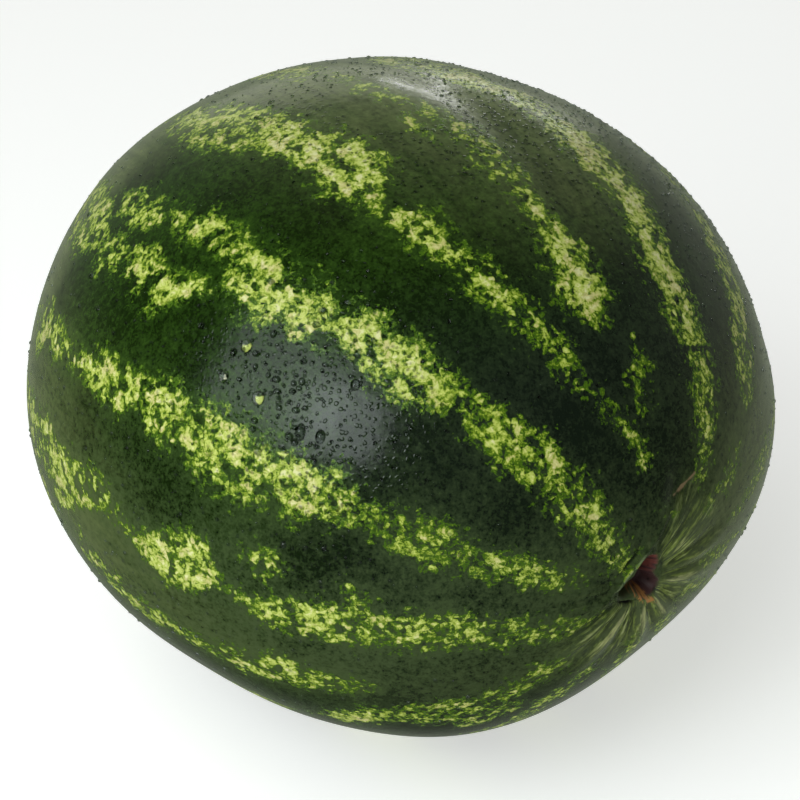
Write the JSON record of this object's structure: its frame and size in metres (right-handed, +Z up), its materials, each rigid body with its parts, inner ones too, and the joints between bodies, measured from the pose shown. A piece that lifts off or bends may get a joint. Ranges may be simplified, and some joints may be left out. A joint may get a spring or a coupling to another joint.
{
  "type": "watermelon",
  "caption": "Whole short-oval watermelon as picked, lying on its side: dark green glossy rind with mottled pale stripes, puckered blossom scar, dry stem stub",
  "frame": {"origin": "middle of the footprint box, on the surface that the fruit lies on", "axes": "+X along the fruit from the stem end to the blossom end, +Z up, +Y across"},
  "size_m": [0.278, 0.25, 0.2166],
  "materials": {
    "rind": "waxy, glossy, dark green with pale mottled stripes"
  },
  "bodies": {
    "root": {"fruit": "rind"}
  },
  "joints": []
}
